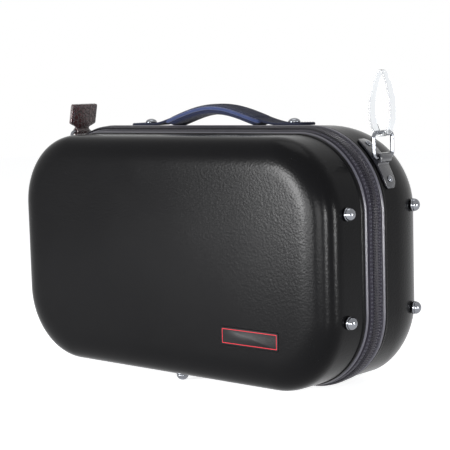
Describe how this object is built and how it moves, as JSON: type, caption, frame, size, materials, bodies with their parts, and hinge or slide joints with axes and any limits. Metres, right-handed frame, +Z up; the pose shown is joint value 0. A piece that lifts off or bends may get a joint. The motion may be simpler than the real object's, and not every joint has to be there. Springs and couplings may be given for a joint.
{
  "type": "clarinet case",
  "caption": "Hard-shell clarinet case that stands on domed feet: zipped lid on a fabric hinge, padded carrying handle, strap rings, and a plush-covered insert with a pocket for each joint.",
  "frame": {"origin": "under the middle of the whole case's bounding box, on the surface that its feet stand on", "axes": "+X along the case to the end that carries the end feet, +Y from the lid to the base shell, +Z up"},
  "size_m": [0.3594, 0.1306, 0.2484],
  "materials": {
    "abs_black": "fine pebble-grained moulded ABS, satin",
    "chrome": "polished chrome plate",
    "zinc_steel": "zinc-plated steel",
    "gunmetal": "dark plated zinc casting",
    "tape_fabric": "woven polyester tape",
    "coil_nylon": "moulded nylon",
    "piping_vinyl": "vinyl welt",
    "webbing": "woven nylon webbing",
    "grip_vinyl": "soft grained vinyl over foam",
    "plush": "plush over rigid foam",
    "smoke_plastic": "glossy moulded nylon",
    "clear_vinyl": "clear soft vinyl",
    "leather": "glossy dark leather",
    "badge_plastic": "bare black plate with a thin red line"
  },
  "bodies": {
    "base": {"base_shell": "abs_black", "base_piping": "piping_vinyl", "base_zip_tape": "tape_fabric", "base_hinge_fabric": "tape_fabric", "base_zip_teeth": "coil_nylon", "handle_strap": "webbing", "handle_grip": "grip_vinyl", "handle_rivet_left": "chrome", "handle_rivet_right": "chrome", "handle_backing_plate": "zinc_steel", "strap_lug_left": "smoke_plastic", "strap_lug_right": "smoke_plastic", "base_insert": "plush", "base_bottom_foot_left": "chrome", "base_bottom_foot_left_washer": "zinc_steel", "base_bottom_foot_right": "chrome", "base_bottom_foot_right_washer": "zinc_steel", "base_end_foot_upper": "chrome", "base_end_foot_upper_washer": "zinc_steel", "base_end_foot_lower": "chrome", "base_end_foot_lower_washer": "zinc_steel", "strap_lug_rivet_left_lower": "chrome", "strap_lug_rivet_left_upper": "chrome", "strap_lug_rivet_right_lower": "chrome", "strap_lug_rivet_right_upper": "chrome"},
    "lid": {"lid_shell": "abs_black", "badge_plate": "badge_plastic", "lid_piping": "piping_vinyl", "lid_zip_tape": "tape_fabric", "lid_hinge_fabric": "tape_fabric", "lid_zip_teeth": "coil_nylon", "lid_insert": "plush", "lid_bottom_foot": "chrome", "lid_bottom_foot_washer": "zinc_steel", "lid_end_foot_upper": "chrome", "lid_end_foot_upper_washer": "zinc_steel", "lid_end_foot_lower": "chrome", "lid_end_foot_lower_washer": "zinc_steel"},
    "slider_upper": {"slider_upper": "gunmetal"},
    "slider_lower": {"slider_lower": "gunmetal"},
    "pull_upper": {"pull_upper": "gunmetal"},
    "pull_lower": {"pull_lower": "gunmetal"},
    "ring_left": {"ring_left": "chrome"},
    "ring_right": {"ring_right": "chrome"},
    "leather_tab": {"leather_tab": "leather"},
    "clear_loop": {"clear_loop": "clear_vinyl"}
  },
  "joints": [
    {"name": "lid_hinge", "type": "hinge", "parent": "base", "child": "lid", "pos_m": [0.00161, -0.01075, 0.0043], "axis": [1, 0, 0], "range_deg": [0, 170]},
    {"name": "slider_upper_slide", "type": "slide", "parent": "base", "child": "slider_upper", "axis": [0, 0, 1], "range_m": [0, 0.018], "deforming": ["lid_zip_teeth", "base_zip_teeth"]},
    {"name": "slider_lower_slide", "type": "slide", "parent": "base", "child": "slider_lower", "axis": [0, 0, -1], "range_m": [0, 0.018], "deforming": ["lid_zip_teeth", "base_zip_teeth"]},
    {"name": "pull_upper_swing", "type": "hinge", "parent": "slider_upper", "child": "pull_upper", "pos_m": [-0.17697, -0.01253, 0.1165], "axis": [-0.2922, 0.9564, 0], "range_deg": [0, 150]},
    {"name": "pull_lower_swing", "type": "hinge", "parent": "slider_lower", "child": "pull_lower", "pos_m": [-0.17697, -0.01253, 0.0915], "axis": [-0.2922, 0.9564, 0], "range_deg": [0, 110]},
    {"name": "ring_right_swing", "type": "hinge", "parent": "base", "child": "ring_right", "pos_m": [0.16897, 0.01025, 0.18267], "axis": [0, 1, 0], "range_deg": [-25, 110]},
    {"name": "ring_left_swing", "type": "hinge", "parent": "base", "child": "ring_left", "pos_m": [-0.16575, 0.01025, 0.18267], "axis": [0, 1, 0], "range_deg": [-110, 25]},
    {"name": "clear_loop_swing", "type": "hinge", "parent": "ring_right", "child": "clear_loop", "pos_m": [0.16897, 0.01025, 0.20167], "axis": [0, 1, 0], "range_deg": [-10, 35]},
    {"name": "leather_tab_swing", "type": "hinge", "parent": "ring_left", "child": "leather_tab", "pos_m": [-0.16575, 0.01025, 0.20167], "axis": [0, 1, 0], "range_deg": [-35, 10]}
  ]
}
